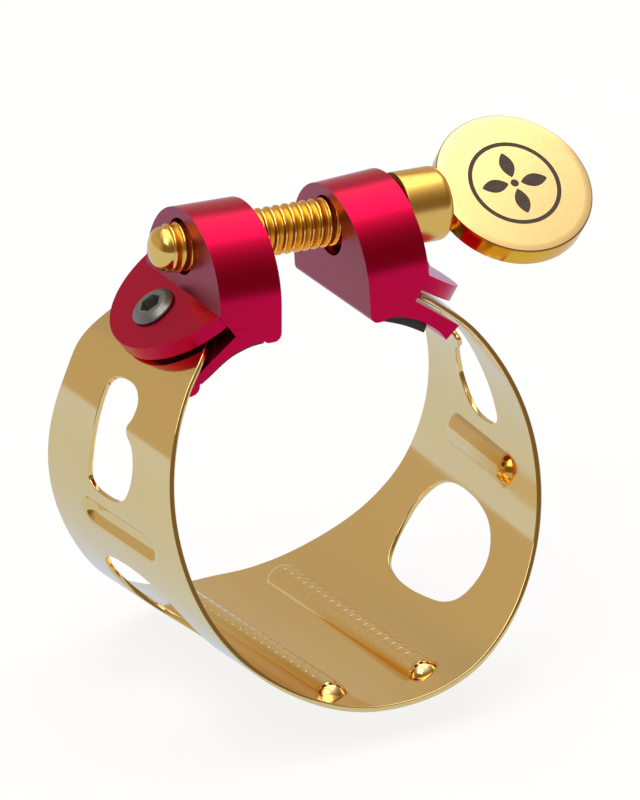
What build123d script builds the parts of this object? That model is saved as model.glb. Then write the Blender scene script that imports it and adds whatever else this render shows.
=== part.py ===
from build123d import *
import os
from math import sin, cos, tan, radians

# ---------------------------------------------------------------------------
# Saxophone ligature, in millimetres: a rolled strap with windows, two lugs
# clamped to its ends, and a thumb screw through the lugs.
# Y is the mouthpiece axis (front rim towards -Y), X runs along the screw
# (left is -X, the knob is on the right), Z points up to the lugs. The origin is
# on the mouthpiece axis, level with the middle of the band.
# Angles round the band are in degrees from the bottom (-Z).
# ---------------------------------------------------------------------------

# band: a strap rolled on a slow cone
band_radius = 12.6          # outside radius at y = 0
band_taper = 0.0644         # radius gained per mm towards +Y
sheet = 0.40                # sheet thickness
cone_reach, core_reach = 19, 20         # half lengths of the outer cone and of its core
outline_reach = 20                      # the side outline is closed this far above and below
outline_half_width = 30

# rims: (angle, distance of the rim from y = 0)
front_rim = [
    (0, 12.90), (16, 12.86), (27, 12.62), (38, 12.00), (46, 11.45), (61, 10.25), (75, 9.15),
    (89, 8.10), (105, 6.93), (119, 5.85), (131, 4.90), (141, 3.95), (150, 3.30)]
back_rim = [
    (0, 13.05), (11, 12.50), (28, 11.40), (48, 9.60), (60, 8.70), (72, 8.15), (82, 7.80),
    (95, 7.42), (110, 6.98), (124, 6.62), (136, 6.15), (150, 5.75)]

# embossed rails and side ribs: pressed inwards, hollow on the outside
rail_angle = 15.0
rail_front, rail_back = -9.6, 9.4       # y of the centres of the rounded ends
rib_angle = 80.0
rib_front, rib_back = -4.2, 2.9
emboss_radius = 1.02
emboss_sink = 0.03                      # emboss centre line below the outside skin

# window outlines: (angle, y)
lower_window = [
    (66.6, -0.2), (65.9, 1.8), (63.6, 3.3), (59.9, 4.25), (54.5, 4.85), (48.0, 4.75),
    (41.8, 4.2), (37.2, 3.2), (34.8, 1.4), (34.2, -0.6), (35.0, -2.8), (36.9, -4.75),
    (40.2, -5.7), (46.5, -6.05), (53.5, -5.85), (59.0, -5.1), (63.3, -3.9), (65.8, -2.2)]
left_upper_window = [
    (88.2, 0.9), (88.4, -0.4), (89.9, -1.6), (93.2, -2.3), (97.9, -2.68), (102.2, -2.6),
    (106.2, -2.1), (108.6, -1.25), (110.4, -1.02), (113.5, -1.32), (117.2, -1.33),
    (119.8, -0.9), (121.3, -0.2), (121.4, 0.8), (120.4, 1.8), (118.2, 2.35), (113.9, 2.42),
    (106.9, 2.38), (100.0, 2.36), (94.2, 2.42), (90.3, 2.35), (88.7, 1.8)]
right_upper_window = [
    (89.3, 0.2), (89.4, -1.2), (90.6, -2.3), (93.0, -2.72), (97.5, -2.5), (103.6, -2.08),
    (108.6, -1.7), (113.5, -1.4), (118.0, -1.05), (121.0, -0.3), (121.8, 0.8), (120.4, 1.9),
    (117.0, 2.2), (113.2, 1.95), (110.6, 1.35), (108.4, 1.55), (106.0, 2.25), (102.0, 2.62),
    (97.6, 2.62), (93.6, 2.1), (90.6, 1.25)]
lower_window_angle, upper_window_angle = 50.0, 105.0    # directions they are punched in
punch_length = 25

# flexing line of the strap, between the left rail and the left lower window
flex_angle = 26.0
flex_gap = 0.26
half_space = 40             # reach of the block that keeps one side of the flexing line

# screw line
screw_z = 13.87             # height of the screw axis above the mouthpiece axis at x = 0
screw_drop = 1.5            # degrees, the axis falls towards the knob
rod_radius = 1.50
rod_tip = -8.72             # places along the screw are counted from x = 0
dome_height = 1.05
collar_radius = 2.27
collar_start, collar_end = 7.02, 10.50
collar_chamfer = 0.34       # at the rod side
collar_bevel, collar_bevel_mid = 0.45, 0.14     # two-step bevel at the knob side
disc_centre = 15.38
disc_radius = 4.95
disc_thickness = 1.42
disc_edge_radius = 0.10
disc_tip_up = 52.0          # degrees the disc face looks up from -Y
disc_clearance = 0.01

# lugs. Local u runs outwards along the bore, w runs up, from the bore at the inner face.
lug_y = 1.25                            # the screw axis along Y, lug lengths start here
lug_front, lug_back = -5.40, 4.70       # ends along Y
lug_thick = 4.0                         # barrel, along the screw
lug_top = 2.36                          # above the screw axis
lug_blank_top = 4                       # before the top is arched
left_face, left_lean = 2.74, 1.8        # inner face from x = 0, lean in degrees
right_face, right_lean = 2.83, 2.5
left_bore_radius = 1.80
right_bore_radius = 1.86
right_bore_y, right_bore_w = -0.28, -0.14   # the screw rests against the top of this bore
lug_bottom = -4.80
lug_corner_radius = 0.50
lug_bottom_end = 0.88
# underside recess: (u, w)
recess = [(1.13, -4.66), (1.92, -4.79), (2.57, -5.03), (3.23, -5.36), (3.87, -5.84),
          (4.50, -6.43), (4.87, -6.98)]
lip_outer = (5.79, -6.27)

# foot plate of a lug, over the slot that takes the strap end
foot_angle = 36.0                       # the foot plate falls outwards at this angle
foot_top, foot_under = 0.22, -0.78
foot_blank_end = 11.0                   # before its plan is rounded
slot_low, slot_end = -1.50, 4.80
slot_mid = (foot_under + slot_low) / 2  # the strap ends lie here
strap_end_gap = 0.12                    # between the strap end and the end of the slot
foot_round, foot_round_at, foot_round_y = 5.30, 4.30, 0.20      # round plan of the foot
foot_round_overlap = 0.9                # the round plate starts this far inside the slot end

# clamp screws
clamp_at, clamp_y = 6.70, 0.45          # along the foot and along Y
clamp_head_radius, clamp_head_height, clamp_flat_radius = 1.42, 0.44, 0.98
clamp_rim_height = 0.15                 # where the head's bevel starts
clamp_seat_gap = 0.01                   # under the head
clamp_shank_radius, clamp_length = 0.98, 2.55
clamp_tip_chamfer = 0.2
clamp_key, clamp_socket_depth = 1.25, 1.0       # hexagon across flats
strap_hole_gap, foot_hole_gap, lip_hole_gap = 0.17, 0.12, 0.02  # radial gaps round the shank
drill_from, drill_depth, foot_drill_depth = 2, 8, 3.2           # start above the foot line

# pads under the lugs
pad_inset = 0.35                        # from each end of the lug
pad_gap = 0.01
pad_top_points = 5                      # points of the recess that the pad follows
pad_outer, pad_inner = (3.62, -6.36), (0.98, -4.98)     # lower corners: (u, w)

# the top arch spans the whole lug length
arch_radius = (lug_back - lug_front) / 2
arch_y = (lug_back + lug_front) / 2
arch_centre = lug_top - arch_radius


# ---------------------------------------------------------------------------
# frames
# ---------------------------------------------------------------------------
def skin(y):
    """Outside radius of the band at y."""
    return band_radius + band_taper * y


def lean_plane(side, face, lean):
    """Lug plane: local x is u, local y is w; side is -1 for left and 1 for right."""
    return Plane(origin=(side * face, lug_y, screw_z - side * face * tan(radians(screw_drop))),
                 x_dir=(side * cos(radians(lean)), 0, sin(radians(lean))),
                 z_dir=(0, -side, 0))


left_plane = lean_plane(-1, left_face, left_lean)
right_plane = lean_plane(1, right_face, right_lean)

# (u, w) directions down the foot and out of it
foot_along = (cos(radians(foot_angle)), -sin(radians(foot_angle)))
foot_out = (sin(radians(foot_angle)), cos(radians(foot_angle)))


def foot_uv(along, out):
    """(u, w) of a point given along the foot and out from its reference line."""
    return (along * foot_along[0] + out * foot_out[0], along * foot_along[1] + out * foot_out[1])


def in_lug(lug_plane, u, w, y=0.0):
    """World point of lug coordinates."""
    return lug_plane.origin + lug_plane.x_dir * u + lug_plane.y_dir * w + Vector(0, y, 0)


def foot_plane(lug_plane, along, out, y=0.0):
    """Plane on the foot: local x down the foot, local z out of it."""
    u, w = foot_uv(along, out)
    return Plane(origin=in_lug(lug_plane, u, w, y),
                 x_dir=lug_plane.x_dir * foot_along[0] + lug_plane.y_dir * foot_along[1],
                 z_dir=lug_plane.x_dir * foot_out[0] + lug_plane.y_dir * foot_out[1])


def strap_end_plane(lug_plane, out):
    """Plane of the flat strap end, moved out from the middle of the sheet."""
    return foot_plane(lug_plane, 0, slot_mid + out)


drop = radians(screw_drop)
screw_dir = Vector(cos(drop), 0, -sin(drop))
screw_up = Vector(sin(drop), 0, cos(drop))


def screw_point(along):
    return Vector(0, lug_y, screw_z) + screw_dir * along


tip_up = radians(disc_tip_up)
disc_plane = Plane(origin=screw_point(disc_centre), x_dir=screw_dir,
                   z_dir=Vector(0, -cos(tip_up), 0) + screw_up * sin(tip_up))


def save(part, name):
    part.label = name
    export_step(part, f"parts/{name}.step")


# ---------------------------------------------------------------------------
# band
# ---------------------------------------------------------------------------
def rim_points(rim, y_sign):
    """(y, z) points of a rim seen from the side."""
    points = []
    for angle, distance in rim:
        y = y_sign * distance
        points.append((y, -skin(y) * cos(radians(angle))))
    return points


def emboss_line(angle, y_start, y_end):
    """Plane at the start of an emboss, normal along the cone and local y outwards; length."""
    outward = Vector(sin(radians(angle)), 0, -cos(radians(angle)))
    start = outward * (skin(y_start) - emboss_sink) + Vector(0, y_start, 0)
    end = outward * (skin(y_end) - emboss_sink) + Vector(0, y_end, 0)
    run = end - start
    direction = run.normalized()
    return Plane(origin=start, x_dir=outward.cross(direction), z_dir=direction), run.length


def make_ridge(bar_plane, length):
    """The inner half of a round-ended bar, cut along the middle of the sheet."""
    inward = -bar_plane.y_dir
    with BuildPart(mode=Mode.PRIVATE) as bar:
        with BuildSketch(bar_plane):
            Circle(emboss_radius)
        extrude(amount=length)
        with Locations(bar_plane, bar_plane.offset(length)):
            Sphere(emboss_radius)
        split(bisect_by=Plane(origin=bar_plane.origin + inward * (sheet / 2),
                              x_dir=bar_plane.z_dir, z_dir=inward), keep=Keep.TOP)
    return bar.part


def make_strap():
    """The whole strap, before it is parted at the flexing line."""
    with BuildPart() as strap:
        # outline seen from the side
        with BuildSketch(Plane.YZ.offset(-outline_half_width)):
            with BuildLine():
                front = rim_points(front_rim, -1)
                back = rim_points(back_rim, 1)
                Spline(*front)
                Polyline(front[-1], (front[-1][0], outline_reach),
                         (back[-1][0], outline_reach), back[-1])
                Spline(*back[::-1])
                Polyline(back[0], (back[0][0], -outline_reach),
                         (front[0][0], -outline_reach), front[0])
            make_face()
        extrude(amount=2 * outline_half_width)
        with BuildSketch(Plane.XY):
            with BuildLine():
                Polyline((0, -cone_reach), (skin(-cone_reach), -cone_reach),
                         (skin(cone_reach), cone_reach), (0, cone_reach), close=True)
            make_face()
        revolve(axis=Axis.Y, revolution_arc=360, mode=Mode.INTERSECT)
        split(bisect_by=strap_end_plane(left_plane, sheet / 2), keep=Keep.BOTTOM)
        split(bisect_by=strap_end_plane(right_plane, sheet / 2), keep=Keep.BOTTOM)

        # hollow it to the sheet thickness
        with BuildPart(mode=Mode.PRIVATE) as core:
            with BuildSketch(Plane.XY):
                with BuildLine():
                    Polyline((0, -core_reach), (skin(-core_reach) - sheet, -core_reach),
                             (skin(core_reach) - sheet, core_reach), (0, core_reach),
                             close=True)
                make_face()
            revolve(axis=Axis.Y, revolution_arc=360)
            split(bisect_by=strap_end_plane(left_plane, -sheet / 2), keep=Keep.BOTTOM)
            split(bisect_by=strap_end_plane(right_plane, -sheet / 2), keep=Keep.BOTTOM)
        add(core.part, mode=Mode.SUBTRACT)

        # windows, each punched straight along its own direction
        for side, middle, outline in ((1, lower_window_angle, lower_window),
                                      (-1, lower_window_angle, lower_window),
                                      (-1, upper_window_angle, left_upper_window),
                                      (1, upper_window_angle, right_upper_window)):
            turn = radians(middle)
            punch = Plane(origin=(0, 0, 0), x_dir=(side * cos(turn), 0, sin(turn)),
                          z_dir=(side * sin(turn), 0, -cos(turn)))
            y_sign = punch.y_dir.Y      # local y runs along +Y or -Y
            with BuildSketch(punch):
                with BuildLine():
                    Spline(*[(skin(y) * sin(radians(angle - middle)), y_sign * y)
                             for angle, y in outline], periodic=True)
                make_face()
            extrude(amount=punch_length, mode=Mode.SUBTRACT)

        for lug_plane in (left_plane, right_plane):
            # the strap is open between its two ends
            end = foot_plane(lug_plane, slot_end + strap_end_gap, slot_mid)
            with BuildSketch(Plane(origin=end.origin, x_dir=end.x_dir, z_dir=lug_plane.z_dir)):
                with BuildLine():
                    Polyline((0, -2.5), (0, 4), (-14, 4), (-14, -2.5), close=True)
                make_face()
            extrude(amount=30, both=True, mode=Mode.SUBTRACT)
            # clamp screw hole
            with BuildSketch(foot_plane(lug_plane, clamp_at, drill_from, clamp_y)):
                Circle(clamp_shank_radius + strap_hole_gap)
            extrude(amount=-drill_depth, mode=Mode.SUBTRACT)

        # embossed bars: a half-round ridge inside with its hollow back
        for angle, y_start, y_end in ((rail_angle, rail_front, rail_back),
                                      (-rail_angle, rail_front, rail_back),
                                      (rib_angle, rib_front, rib_back),
                                      (-rib_angle, rib_front, rib_back)):
            bar_plane, length = emboss_line(angle, y_start, y_end)
            add(make_ridge(bar_plane, length))
            with BuildSketch(bar_plane):
                Circle(emboss_radius - sheet)
            extrude(amount=length, mode=Mode.SUBTRACT)
            with Locations(bar_plane, bar_plane.offset(length)):
                Sphere(emboss_radius - sheet, mode=Mode.SUBTRACT)
    return strap.part


def make_band_side(strap, side):
    """The strap on one side of the flexing line: 1 for its right, -1 for its left."""
    along_x, along_z = sin(radians(flex_angle)), cos(radians(flex_angle))
    edge_x = side * flex_gap / 2 * along_z
    edge_z = -side * flex_gap / 2 * along_x
    with BuildPart() as band_side:
        add(strap)
        with BuildSketch(Plane.XZ.offset(-half_space)):
            with BuildLine():
                Polyline((edge_x, edge_z),
                         (edge_x - half_space * along_x, edge_z - half_space * along_z),
                         (side * half_space, -half_space), (side * half_space, half_space),
                         (0, half_space), close=True)
            make_face()
        extrude(amount=2 * half_space, mode=Mode.INTERSECT)
    return band_side.part


# ---------------------------------------------------------------------------
# lugs and pads
# ---------------------------------------------------------------------------
def lug_outline():
    """Front view of a lug, drawn in its own plane."""
    corner_top = (0, lug_bottom + lug_corner_radius)
    corner_end = (lug_corner_radius, lug_bottom)
    foot_start = (lug_thick - foot_top * foot_out[0]) / foot_along[0]
    Line((0, lug_blank_top), corner_top)
    RadiusArc(corner_top, corner_end, lug_corner_radius)
    Polyline(corner_end, (lug_bottom_end, lug_bottom), recess[0])
    Spline(*recess)
    Polyline(recess[-1], lip_outer,
             foot_uv(slot_end, slot_low), foot_uv(slot_end, foot_under),
             foot_uv(foot_blank_end, foot_under), foot_uv(foot_blank_end, foot_top),
             (lug_thick, foot_uv(foot_start, foot_top)[1]),
             (lug_thick, lug_blank_top), (0, lug_blank_top))


def make_lug(lug_plane, start, bore_radius, bore_w=0.0, bore_y=0.0):
    """A lug; start is where its block begins along the normal of its plane."""
    with BuildPart() as lug:
        with BuildSketch(lug_plane.offset(start)):
            with BuildLine():
                lug_outline()
            make_face()
        extrude(amount=2 * arch_radius)
        # arched top
        with BuildSketch(Plane(origin=in_lug(lug_plane, -5, 0, arch_y),
                               x_dir=lug_plane.y_dir, z_dir=lug_plane.x_dir)):
            with Locations((arch_centre, 0)):
                Circle(arch_radius)
            with Locations((arch_centre - 6, 0)):
                Rectangle(12, 2 * arch_radius)
        extrude(amount=20, mode=Mode.INTERSECT)
        # the round foot plate runs a little past the back of the block
        with BuildSketch(foot_plane(lug_plane, foot_round_at, foot_under, foot_round_y)):
            Circle(foot_round)
            with Locations((slot_end - foot_round_overlap + 10 - foot_round_at, 0)):
                Rectangle(20, 20, mode=Mode.INTERSECT)
        extrude(amount=foot_top - foot_under)
        # trim the foot plate to its round plan
        with BuildSketch(foot_plane(lug_plane, foot_round_at, foot_under - 0.3, foot_round_y)):
            with Locations((slot_end + 5 - foot_round_at, 0)):
                Rectangle(10, 20)
            Circle(foot_round, mode=Mode.SUBTRACT)
        extrude(amount=3, mode=Mode.SUBTRACT)
        # bore
        with BuildSketch(Plane(origin=in_lug(lug_plane, 0, bore_w, bore_y),
                               x_dir=(0, 1, 0), z_dir=lug_plane.x_dir)):
            Circle(bore_radius)
        extrude(amount=20, both=True, mode=Mode.SUBTRACT)
        # clamp screw: clearance through the foot, closer hole in the lip
        for gap, depth in ((foot_hole_gap, foot_drill_depth), (lip_hole_gap, drill_depth)):
            with BuildSketch(foot_plane(lug_plane, clamp_at, drill_from, clamp_y)):
                Circle(clamp_shank_radius + gap)
            extrude(amount=-depth, mode=Mode.SUBTRACT)
    return lug.part


def make_pad(lug_plane, start):
    """Pad in the recess under a lug."""
    top = [(u, w - pad_gap) for u, w in recess[:pad_top_points]]
    with BuildPart() as pad:
        with BuildSketch(lug_plane.offset(start + pad_inset)):
            with BuildLine():
                Spline(*top)
                Polyline(top[-1], pad_outer, pad_inner, top[0])
            make_face()
        extrude(amount=2 * arch_radius - 2 * pad_inset)
    return pad.part


# ---------------------------------------------------------------------------
# screws
# ---------------------------------------------------------------------------
def make_clamp_screw(lug_plane, socket_turn):
    """Clamp screw with a low bevelled head and a hexagon socket turned by socket_turn."""
    seat = foot_plane(lug_plane, clamp_at, foot_top, clamp_y)
    with BuildPart() as screw:
        # half section: x is the radius, y the height above the foot
        with BuildSketch(Plane(origin=seat.origin, x_dir=seat.x_dir, z_dir=-seat.y_dir)):
            with BuildLine():
                Polyline((0, clamp_seat_gap), (0, clamp_head_height),
                         (clamp_flat_radius, clamp_head_height),
                         (clamp_head_radius, clamp_rim_height),
                         (clamp_head_radius, clamp_seat_gap),
                         (clamp_shank_radius, clamp_seat_gap),
                         (clamp_shank_radius, clamp_tip_chamfer - clamp_length),
                         (clamp_shank_radius - clamp_tip_chamfer, -clamp_length),
                         (0, -clamp_length), (0, clamp_seat_gap))
            make_face()
        revolve(axis=Axis(seat.origin, seat.z_dir), revolution_arc=360)
        with BuildSketch(seat.offset(clamp_head_height)):
            RegularPolygon(radius=clamp_key / 2, side_count=6, major_radius=False,
                           rotation=socket_turn)
        extrude(amount=-clamp_socket_depth, mode=Mode.SUBTRACT)
    return screw.part


def make_thumb_disc():
    """Coin-shaped knob, let into the collar of the shaft."""
    with BuildPart() as disc:
        with BuildSketch(disc_plane):
            Circle(disc_radius)
        extrude(amount=disc_thickness / 2, both=True)
        fillet(disc.edges().filter_by(GeomType.CIRCLE), radius=disc_edge_radius)
    return disc.part


def make_screw_shaft():
    """Plain rod with a domed tip and a collar slotted for the knob."""
    dome_end = (rod_tip + dome_height, rod_radius)
    with BuildPart() as shaft:
        with BuildSketch(Plane(origin=screw_point(0), x_dir=screw_dir, z_dir=(0, -1, 0))):
            with BuildLine():
                Spline((rod_tip, 0), (rod_tip + 0.36 * dome_height, 0.78 * rod_radius),
                       dome_end, tangents=((0, 1), (1, 0.25)))
                Polyline(dome_end, (collar_start, rod_radius),
                         (collar_start, collar_radius - collar_chamfer),
                         (collar_start + collar_chamfer, collar_radius),
                         (collar_end - collar_bevel, collar_radius),
                         (collar_end - collar_bevel_mid, collar_radius - collar_bevel_mid),
                         (collar_end, collar_radius - collar_bevel),
                         (collar_end, 0), (rod_tip, 0))
            make_face()
        revolve(axis=Axis(screw_point(0), screw_dir), revolution_arc=360)
        # slot for the knob
        with BuildSketch(disc_plane):
            Circle(disc_radius + disc_clearance)
        extrude(amount=disc_thickness / 2 + disc_clearance, both=True, mode=Mode.SUBTRACT)
    return shaft.part


os.makedirs("parts", exist_ok=True)

full_strap = make_strap()
save(make_band_side(full_strap, 1), "band")
save(make_band_side(full_strap, -1), "band_left_arm")

# the normal of the left plane is +Y and that of the right plane is -Y
save(make_lug(left_plane, lug_front, left_bore_radius), "left_lug")
save(make_lug(right_plane, -lug_back, right_bore_radius, right_bore_w, right_bore_y),
     "right_lug")
save(make_pad(left_plane, lug_front), "left_pad")
save(make_pad(right_plane, -lug_back), "right_pad")
save(make_clamp_screw(left_plane, socket_turn=12), "left_clamp_screw")
save(make_clamp_screw(right_plane, socket_turn=20), "right_clamp_screw")

save(make_thumb_disc(), "thumb_disc")
save(make_screw_shaft(), "screw_shaft")
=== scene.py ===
"""A gold strap clamp: an open band of sheet metal with its gap at the top.

The band's axis is the Y axis, with Z up. The front is -Y and the band widens towards the back, +Y.
Angles round the band start at the bottom and grow towards the right, +X. The band's two feet sit
in red lugs beside the gap, and a thumb screw crosses from lug to lug, its knob on the right.
"""
import math
from contextlib import contextmanager

import bmesh
import bpy
import numpy as np
from mathutils import Matrix, Vector
from mathutils.geometry import delaunay_2d_cdt


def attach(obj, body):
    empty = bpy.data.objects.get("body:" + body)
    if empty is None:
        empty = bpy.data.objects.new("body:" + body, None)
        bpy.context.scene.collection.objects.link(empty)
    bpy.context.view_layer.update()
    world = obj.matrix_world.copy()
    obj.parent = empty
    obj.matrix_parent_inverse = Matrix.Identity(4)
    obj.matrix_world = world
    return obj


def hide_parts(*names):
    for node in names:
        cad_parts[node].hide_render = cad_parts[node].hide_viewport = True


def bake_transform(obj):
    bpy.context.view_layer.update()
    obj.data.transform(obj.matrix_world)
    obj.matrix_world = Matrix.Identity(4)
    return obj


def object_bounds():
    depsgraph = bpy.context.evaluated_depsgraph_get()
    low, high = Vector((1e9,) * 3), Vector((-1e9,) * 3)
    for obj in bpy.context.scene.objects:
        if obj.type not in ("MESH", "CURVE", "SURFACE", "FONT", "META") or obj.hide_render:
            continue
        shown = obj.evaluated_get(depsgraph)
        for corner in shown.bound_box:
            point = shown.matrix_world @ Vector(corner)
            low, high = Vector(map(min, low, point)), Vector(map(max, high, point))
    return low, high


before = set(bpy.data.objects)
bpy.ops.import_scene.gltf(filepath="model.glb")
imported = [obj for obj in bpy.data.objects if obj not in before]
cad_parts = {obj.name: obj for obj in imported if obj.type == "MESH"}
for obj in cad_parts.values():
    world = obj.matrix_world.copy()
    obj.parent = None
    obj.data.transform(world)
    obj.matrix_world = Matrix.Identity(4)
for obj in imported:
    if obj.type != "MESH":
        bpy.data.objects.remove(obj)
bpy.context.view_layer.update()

MM = 0.001
scene = bpy.context.scene


# ---------------------------------------------------------------------------
# driving dimensions, in millimetres and radians
# ---------------------------------------------------------------------------
# band: outer radius at y = 0, growth of the radius per mm of y, sheet thickness
BAND_R, TAPER, SHEET = 12.6, 0.0644, 0.34
MID_R = BAND_R - SHEET / 2

# edges of the strap: (degrees from the bottom, distance from y = 0)
FRONT_EDGE = [
    (0, 12.90), (16, 12.86), (27, 12.62), (38, 12.00), (46, 11.45), (61, 10.25), (75, 9.15),
    (89, 8.10), (105, 6.93), (119, 5.85), (131, 4.90), (141, 3.95), (150, 3.30)]
BACK_EDGE = [
    (0, 13.05), (11, 12.50), (28, 11.40), (48, 9.60), (60, 8.70), (72, 8.15), (82, 7.80),
    (95, 7.42), (110, 6.98), (124, 6.62), (136, 6.15), (150, 5.75)]

# screw: height over the band's axis, fall towards the right, y of the screw and the lugs
SCREW_Z, SCREW_DROP, LUG_Y = 13.87, math.radians(1.5), 1.25
# places along the screw are measured from x = 0, positive to the right
ROD_R, ROD_TIP, ROD_DOME = 1.50, -8.72, 0.88
PITCH, THREAD_DEPTH = 0.60, 0.135
COLLAR_R, COLLAR_START, COLLAR_END = 2.27, 7.02, 10.50
KNOB_AT, KNOB_R, KNOB_T, KNOB_TILT = 15.38, 4.95, 1.42, math.radians(52.0)

# lug block: y of its front and back from LUG_Y, width along the bore, top over the bore
LUG_FRONT, LUG_BACK, LUG_THICK, LUG_TOP = -5.40, 4.70, 4.0, 2.36
ARCH_R, ARCH_Y = (LUG_BACK - LUG_FRONT) / 2, (LUG_BACK + LUG_FRONT) / 2
ARCH_W = LUG_TOP - ARCH_R

# foot: slope, then heights square to it, and how far along it the slot for the strap reaches
FOOT_SLOPE = math.radians(36.0)
FOOT_TOP, FOOT_UNDER, SLOT_LOW, SLOT_END = 0.22, -0.78, -1.50, 4.80
SLOT_MID = (FOOT_UNDER + SLOT_LOW) / 2
PLATE_R, PLATE_AT, PLATE_Y = 5.30, 4.30, 0.20          # round end of the foot
ALONG_FOOT = (math.cos(FOOT_SLOPE), -math.sin(FOOT_SLOPE))
OFF_FOOT = (math.sin(FOOT_SLOPE), math.cos(FOOT_SLOPE))

# clamp screw through the foot: place, head radius and height, flat top radius, hex key width
CLAMP_AT, CLAMP_Y = 6.70, 0.45
CLAMP_R, CLAMP_H, CLAMP_FLAT, CLAMP_KEY = 1.42, 0.44, 0.98, 1.25
CLAMP_SHANK_R, CLAMP_END = 0.98, -2.55


class Lug:
    """A lug's own axes: out along its bore, up and back, from the bore's centre at the inner face.

    The foot has its own pair: along it (outwards and down) and off it (outwards and up).
    """
    def __init__(self, side, inner_face, lean):
        z = SCREW_Z + inner_face * math.tan(SCREW_DROP) * (1 if side < 0 else -1)
        self.side = side
        self.origin = Vector((side * inner_face, LUG_Y, z))
        self.out = Vector((side * math.cos(lean), 0, math.sin(lean)))
        self.up = Vector((-side * math.sin(lean), 0, math.cos(lean)))
        self.back = Vector((0, 1, 0))
        self.along = self.out * ALONG_FOOT[0] + self.up * ALONG_FOOT[1]
        self.off = self.out * OFF_FOOT[0] + self.up * OFF_FOOT[1]
        # drawing planes for prism(): origin, two drawing axes, direction of the extrusion
        self.section = (self.origin, self.out, self.up, self.back)
        self.face = (self.origin, self.back, self.up, self.out)
        self.foot_plan = (self.origin, self.along, self.back, self.off)


LEFT = Lug(side=-1, inner_face=2.74, lean=math.radians(1.8))
RIGHT = Lug(side=1, inner_face=2.83, lean=math.radians(2.5))
SCREW_AXIS = Vector((math.cos(SCREW_DROP), 0, -math.sin(SCREW_DROP)))
SCREW_UP = Vector((math.sin(SCREW_DROP), 0, math.cos(SCREW_DROP)))


def on_screw(s):
    return Vector((0, LUG_Y, SCREW_Z)) + SCREW_AXIS * s


# ---------------------------------------------------------------------------
# mesh helpers
# ---------------------------------------------------------------------------
def new_mesh(name, verts, faces):
    """object from points in millimetres"""
    mesh = bpy.data.meshes.new(name)
    points = np.asarray(verts, float) * MM
    mesh.from_pydata([tuple(p) for p in points], [], [tuple(int(i) for i in f) for f in faces])
    mesh.validate()
    mesh.update()
    ob = bpy.data.objects.new(name, mesh)
    scene.collection.objects.link(ob)
    return ob


@contextmanager
def editing(ob):
    bm = bmesh.new()
    bm.from_mesh(ob.data)
    yield bm
    bm.to_mesh(ob.data)
    bm.free()


def smooth(ob, angle):
    mesh = ob.data
    mesh.polygons.foreach_set("use_smooth", [True] * len(mesh.polygons))
    mesh.set_sharp_from_angle(angle=math.radians(angle))
    mesh.update()


def fix_normals(ob):
    with editing(ob) as bm:
        bmesh.ops.recalc_face_normals(bm, faces=bm.faces)


def add_attribute(ob, name, values):
    attribute = ob.data.attributes.new(name, "FLOAT", "POINT")
    attribute.data.foreach_set("value", values.astype(np.float32))


def prism(name, outline, axes, start, end):
    """closed prism of a 2D outline; axes are origin, two drawing axes and the direction it runs"""
    origin, ex, ey, ez = axes
    n = len(outline)
    verts = [origin + ex * p[0] + ey * p[1] + ez * z for z in (start, end) for p in outline]
    faces = [tuple(range(n)), tuple(range(2 * n - 1, n - 1, -1))]
    faces += [(i, n + i, n + (i + 1) % n, (i + 1) % n) for i in range(n)]
    ob = new_mesh(name, verts, faces)
    fix_normals(ob)
    return ob


def circle(radius, count, cx=0.0, cy=0.0, start=0.0):
    angles = [start + 2 * math.pi * i / count for i in range(count)]
    return [(cx + radius * math.cos(a), cy + radius * math.sin(a)) for a in angles]


def apply_modifier(ob, kind, **settings):
    modifier = ob.modifiers.new(kind.lower(), kind)
    for key, value in settings.items():
        setattr(modifier, key, value)
    graph = bpy.context.evaluated_depsgraph_get()
    graph.update()
    mesh = bpy.data.meshes.new_from_object(
        ob.evaluated_get(graph), preserve_all_data_layers=True, depsgraph=graph)
    ob.modifiers.clear()
    old = ob.data
    ob.data = mesh
    bpy.data.meshes.remove(old)


def boolean(ob, tool, operation):
    apply_modifier(ob, "BOOLEAN", operation=operation, solver="EXACT", object=tool)
    bpy.data.objects.remove(tool)


def bevel(ob, width, angle):
    with editing(ob) as bm:
        bmesh.ops.remove_doubles(bm, verts=bm.verts, dist=2e-6)
        bmesh.ops.dissolve_limit(bm, angle_limit=math.radians(0.4), verts=bm.verts, edges=bm.edges)
    apply_modifier(ob, "BEVEL", width=width * MM, segments=3, limit_method="ANGLE",
                   angle_limit=math.radians(angle), use_clamp_overlap=True,
                   miter_outer="MITER_ARC")


def round_normals(ob, centre, axis, radius):
    """shade a turned surface truly round, and the flat front and back truly flat"""
    mesh = ob.data
    normals = [Vector(c.vector) for c in mesh.corner_normals]
    for face in mesh.polygons:
        ys = [mesh.vertices[v].co.y / MM for v in face.vertices]
        flat = Vector((0, -1 if sum(ys) / len(ys) < centre.y else 1, 0))
        level = max(ys) - min(ys) < 0.004
        if level and (face.area < 1e-11 or face.normal.dot(flat) > 0.9):
            for corner in face.loop_indices:
                normals[corner] = flat
            continue
        arm = face.center / MM - centre
        arm = arm - axis * arm.dot(axis)
        if abs(arm.length - radius) < 0.03 and face.normal.dot(arm.normalized()) > 0.998:
            for corner in face.loop_indices:
                q = mesh.vertices[mesh.loops[corner].vertex_index].co / MM - centre
                normals[corner] = (q - axis * q.dot(axis)).normalized()
    mesh.normals_split_custom_set([tuple(v) for v in normals])


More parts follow.
